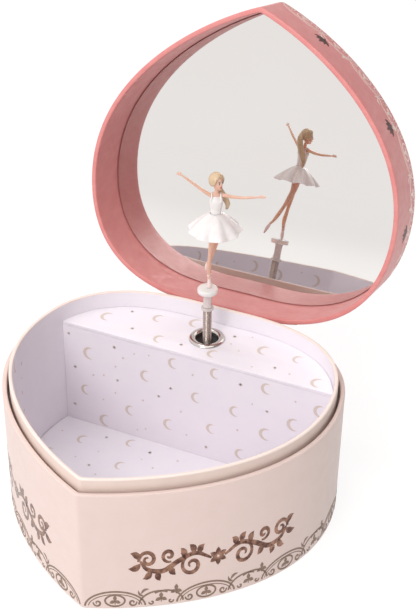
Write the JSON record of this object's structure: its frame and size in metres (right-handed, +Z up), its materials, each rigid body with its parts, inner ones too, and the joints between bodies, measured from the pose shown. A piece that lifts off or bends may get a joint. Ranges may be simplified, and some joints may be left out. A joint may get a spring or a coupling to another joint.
{
  "type": "wind-up music box",
  "caption": "Heart-shaped music box with a hinged mirror lid, a lined tray and a turning dancer on a spring post, driven by a wind-up musical movement.",
  "frame": {"origin": "middle of the base, on the table", "axes": "+Z up, the heart's tip points to -Y, the lid is hinged along X at the back (+Y)"},
  "size_m": [0.16, 0.2148, 0.2121],
  "materials": {
    "cream_paper": "wrapped in matt printed paper",
    "lavender_paper": "wrapped in printed paper with moons and stars",
    "grey_board": "bare greyboard",
    "pearl_paper": "wrapped in pearlescent paper",
    "mirror": "silvered glass",
    "foil": "copper foil",
    "nickel": "bright nickel plate",
    "black_plastic": "matt black",
    "white_plastic": "gloss white",
    "clear_plastic": "milky translucent",
    "steel": "bright steel",
    "brass": "turned brass",
    "zinc": "cast zinc, bright",
    "skin": "painted",
    "dress": "painted white",
    "hair": "painted",
    "slipper": "painted"
  },
  "bodies": {
    "box": {"outer_wall": "cream_paper", "bottom_board": "cream_paper", "neck_wall": "lavender_paper", "wall_filler_board": "grey_board", "floor_lining": "lavender_paper", "platform_front_board": "lavender_paper", "platform_top_board": "lavender_paper", "hinge_strip_box": "cream_paper", "foil_flourish_right": "foil", "foil_flourish_left": "foil", "eyelet": "nickel", "post_socket": "black_plastic", "post_spring": "nickel", "movement_bedplate": "zinc", "mounting_screw_1": "steel", "mounting_screw_2": "steel", "mounting_screw_3": "steel", "barrel_bridge": "zinc", "cylinder_bearing": "zinc", "governor_bearing": "zinc", "steel_comb": "steel", "comb_screw_1": "brass", "comb_screw_2": "brass"},
    "lid": {"lid_wall": "pearl_paper", "lid_top_panel": "pearl_paper", "mirror_glass": "mirror", "mirror_backing_card": "grey_board", "hinge_strip_lid": "pearl_paper"},
    "post_head": {"bearing_collar": "clear_plastic"},
    "dancer": {"turning_stem": "white_plastic", "turning_disc": "white_plastic", "dancer_standing_slipper": "slipper", "dancer_standing_leg": "skin", "dancer_free_slipper": "slipper", "dancer_free_leg": "skin", "dancer_skirt": "dress", "dancer_bodice": "dress", "dancer_shoulders": "skin", "dancer_head": "skin", "dancer_hair": "hair", "dancer_ponytail": "hair", "dancer_raised_arm": "skin", "dancer_level_arm": "skin"},
    "barrel": {"spring_barrel": "brass", "mainspring": "steel"},
    "winder": {"winding_arbor": "steel", "winding_key": "nickel"},
    "cylinder": {"music_cylinder": "brass", "cylinder_arbor": "steel", "cylinder_pinion": "brass", "cylinder_wheel": "brass", "drive_cable": "steel"},
    "intermediate": {"intermediate_pinion": "steel", "intermediate_wheel": "brass"},
    "governor": {"fly_pinion": "steel", "governor_fly": "white_plastic"},
    "stop": {"stop_rod": "black_plastic"}
  },
  "joints": [
    {"name": "lid_hinge", "type": "hinge", "parent": "box", "child": "lid", "pos_m": [0, 0.0755, 0.0652], "axis": [1, 0, 0], "range_deg": [0, 103.2]},
    {"name": "post_fold", "type": "hinge", "parent": "box", "child": "post_head", "pos_m": [0, 0.055, 0.068], "axis": [1, 0, 0], "range_deg": [0, 100], "deforming": ["post_spring", "drive_cable"]},
    {"name": "dancer_turn", "type": "hinge", "parent": "post_head", "child": "dancer", "pos_m": [0, 0.055, 0.068], "axis": [0, 0, 1], "continuous": true},
    {"name": "barrel_turn", "type": "hinge", "parent": "box", "child": "barrel", "pos_m": [0, 0.055, 0.02], "axis": [0, 1, 0], "continuous": true},
    {"name": "winding_turn", "type": "hinge", "parent": "box", "child": "winder", "pos_m": [0, 0.055, 0.02], "axis": [0, 1, 0], "range_deg": [0, 1440]},
    {"name": "cylinder_turn", "type": "hinge", "parent": "box", "child": "cylinder", "pos_m": [0, 0.055, 0.04], "axis": [0, 0, 1], "continuous": true},
    {"name": "intermediate_turn", "type": "hinge", "parent": "box", "child": "intermediate", "pos_m": [0.01, 0.055, 0.054], "axis": [0, 0, 1], "continuous": true},
    {"name": "governor_turn", "type": "hinge", "parent": "box", "child": "governor", "pos_m": [0.0196, 0.055, 0.048], "axis": [0, 0, 1], "continuous": true},
    {"name": "stop_slide", "type": "slide", "parent": "box", "child": "stop", "axis": [0, -1, 0], "range_m": [0, 0.002]}
  ],
  "couplings": [
    {"joint": "post_fold", "follows": "lid_hinge", "ratio": 0.9689},
    {"joint": "dancer_turn", "follows": "barrel_turn", "ratio": -2.2},
    {"joint": "cylinder_turn", "follows": "barrel_turn", "ratio": -2.2},
    {"joint": "intermediate_turn", "follows": "barrel_turn", "ratio": 6.6},
    {"joint": "governor_turn", "follows": "barrel_turn", "ratio": -33}
  ]
}
